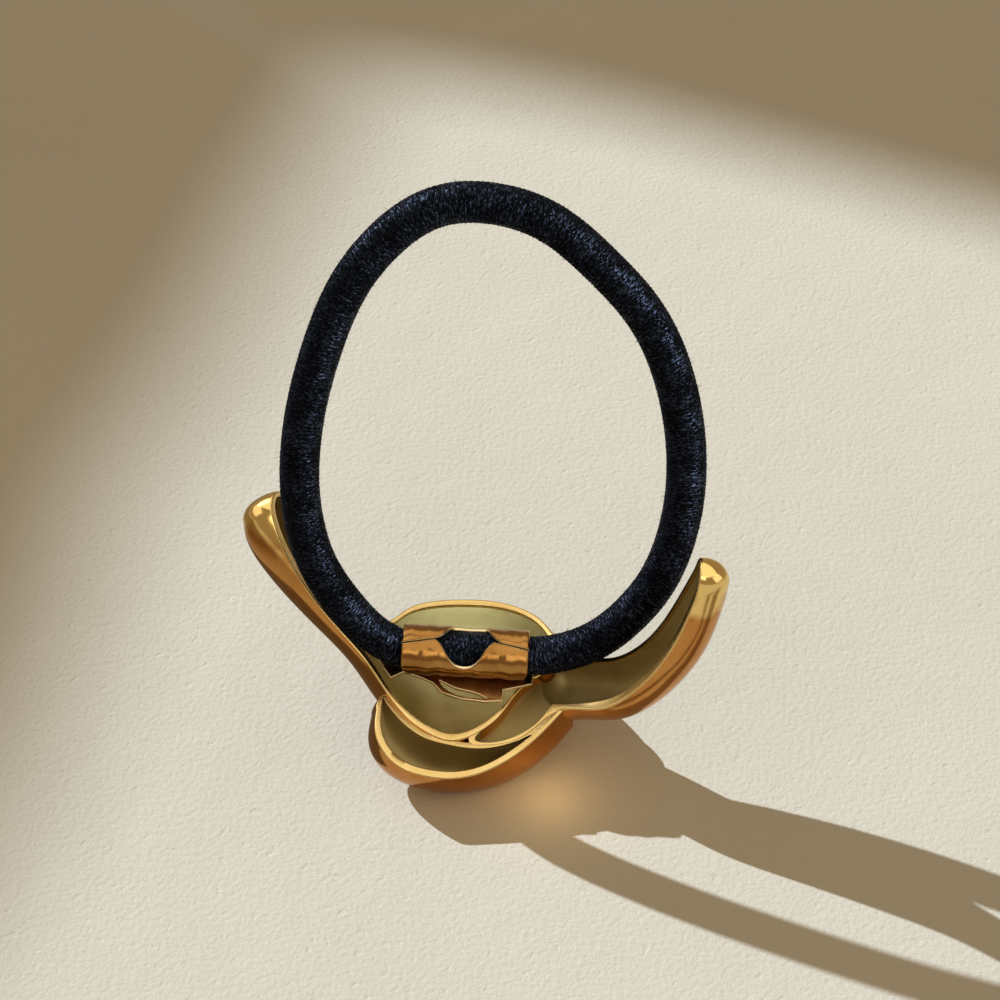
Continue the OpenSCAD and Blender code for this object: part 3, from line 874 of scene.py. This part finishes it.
card("card_above", metals, (0.05, 0.05, 0.99), 0.8, 1.90, 1.40, 1.0, (1.0, 0.97, 0.85))
card("card_left", metals, (-0.88, 0.10, 0.42), 0.9, 0.90, 0.40, 0.9, (1.0, 0.97, 0.88))
card("card_right", metals, (0.88, -0.30, 0.36), 0.9, 0.70, 0.50, 1.0, (0.97, 0.98, 1.0))
card("card_front", metals, (-0.20, -0.80, 0.57), 0.9, 0.60, 0.30, 1.8, (1.0, 0.97, 0.85))
card("yarn_right", (elastic_piece,), (0.83, -0.33, 0.45), 0.9, 0.40, 0.70, 22.0, (0.85, 0.92, 1.0))
card("yarn_above", (elastic_piece,), (0.10, 0.50, 0.86), 0.9, 0.50, 0.50, 5.0, (0.92, 1.0, 0.96))


def lamp(name, only, place, size, energy, colour, facing=None):
    """A small lamp among the pieces, at a place in millimetres, that the camera doesn't see and
    no surface mirrors: a ball, or a square that faces one way."""
    light = bpy.data.lights.new(name, "AREA" if facing else "POINT")
    light.energy, light.color = energy, colour
    holder = bpy.data.objects.new(name, light)
    holder.location = Vector(place) * MM
    if facing:
        light.size = size * MM
        holder.rotation_euler = Vector(facing).to_track_quat("-Z", "Y").to_euler()
    else:
        light.shadow_soft_size = size * MM
    holder.visible_camera = holder.visible_glossy = False
    scene.collection.objects.link(holder)
    only_on(holder, only)


# Where the polished lobe throws the sun back on the floor, and where the crimp throws it on the
# far wall inside the dome
lamp("glow", (floor,), (9.0, -15.0, 5.2), 2.0, 0.0005, (1.0, 0.62, 0.26))
lamp("kicker", (knot_piece,), (-2.5, -0.6, 13.0), 6.0, 0.0032, (0.67, 0.82, 0.95), facing=(0.0, 0.9, -0.42))


def sheet(name, corners):
    """A flat sheet through its corners, in millimetres, out of sight of the camera and of dull
    surfaces."""
    mesh = bpy.data.meshes.new(name)
    mesh.from_pydata((np.array(corners, float) * MM).tolist(), [], [tuple(range(len(corners)))])
    piece = bpy.data.objects.new(name, mesh)
    piece.visible_camera = piece.visible_diffuse = False
    piece.visible_transmission = piece.visible_volume_scatter = False
    scene.collection.objects.link(piece)
    return piece


def flag(name, distance, corners):
    """A dark sheet that only stops the sun: its corners on the floor, carried towards the sun."""
    sheet(name, np.array(corners, float) + np.array(to_sun) * distance / MM).visible_glossy = False


# The soft shade on the floor, left of one edge and behind another, which meet at a corner
SHADE_CORNER = (-25, 119, 0)
flag("flag_left", 2.2, [SHADE_CORNER, (-400, 450, 0), (-400, -110, 0), (-80, -110, 0), (-54, -20, 0),
                        (-50, 4, 0), (-48, 29, 0), (-39.5, 57, 0), (-32.5, 89, 0)])
flag("flag_back", 2.1, [SHADE_CORNER, (-8.4, 117, 0), (15.5, 110.5, 0), (60, 94, 0), (400, -32, 0),
                        (400, 450, 0), (-400, 450, 0)])

# A dim brown sheet low on the left that glows, seen only in reflections: a painted reflection of shade, for
# the left arm's dark outside
umber, umber_tree, umber_shader = new_material("umber")
umber_shader.inputs["Base Color"].default_value = (0, 0, 0, 1)
umber_shader.inputs["Specular IOR Level"].default_value = 0.0
umber_shader.inputs["Emission Color"].default_value = (0.17, 0.14, 0.10, 1)
umber_shader.inputs["Emission Strength"].default_value = 1.0
dim = sheet("dim", [(-42, -17, 1), (-13, -17, 1), (-13, 60, 1), (-42, 60, 1)])
dim.visible_shadow = False
dim.data.materials.append(umber)

# The camera, at the photo's place: its own turn in the ornament frame, carried to rest. Its place
# is on the floor's axes, in millimetres

VIEW_TURN, VIEW_RISE = math.radians(3.799), math.radians(56.875)
VIEW_PLACE = np.array([16.929, -211.137, 256.436])
back = np.array([math.sin(VIEW_TURN) * math.cos(VIEW_RISE), -math.cos(VIEW_TURN) * math.cos(VIEW_RISE),
                 math.sin(VIEW_RISE)])
right = np.array([math.cos(VIEW_TURN), math.sin(VIEW_TURN), 0.0])
axes = turn_to_rest(np.stack([right, np.cross(back, right), back]))
camera = bpy.data.cameras.new("camera")
camera.lens, camera.sensor_width, camera.clip_start = 100.0, 36.0, 0.01
camera_object = bpy.data.objects.new("camera", camera)
placed = np.eye(4)
placed[:3, :3] = axes.T
placed[:3, 3] = VIEW_PLACE * MM
camera_object.matrix_world = Matrix(placed.tolist())
scene.collection.objects.link(camera_object)
scene.camera = camera_object
scene.view_settings.view_transform = "Standard"
